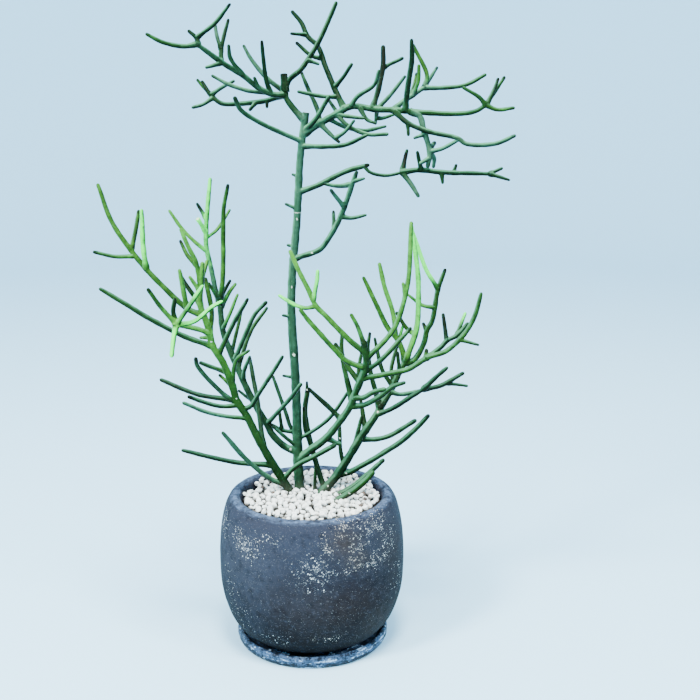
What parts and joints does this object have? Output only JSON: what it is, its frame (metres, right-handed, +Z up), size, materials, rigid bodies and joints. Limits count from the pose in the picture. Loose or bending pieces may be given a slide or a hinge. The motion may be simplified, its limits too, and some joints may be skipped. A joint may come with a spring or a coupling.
{
  "type": "potted pencil cactus",
  "caption": "Bushy pencil cactus with bare forking green stems, growing in pumice gravel in a round dark stoneware pot that stands on a matching saucer.",
  "frame": {"origin": "on the surface that the saucer stands on, under the middle of the pot", "axes": "+Z up, +X to the plant's right as it is usually shown, -Y towards the viewer"},
  "size_m": [0.4921, 0.2505, 0.8036],
  "materials": {
    "pot_stoneware": "matte",
    "saucer_stoneware": "matte",
    "potting_soil": "matte",
    "pumice": "matte",
    "tall_green": "satin",
    "bush_green": "satin"
  },
  "bodies": {
    "root": {"saucer": "saucer_stoneware", "pot": "pot_stoneware", "potting_soil": "potting_soil", "pumice_gravel": "pumice", "tall_stem": "tall_green", "left_stem": "bush_green", "right_stem": "bush_green", "low_shoot_front": "bush_green", "low_shoot_behind": "bush_green", "slim_shoot": "bush_green"}
  },
  "joints": []
}
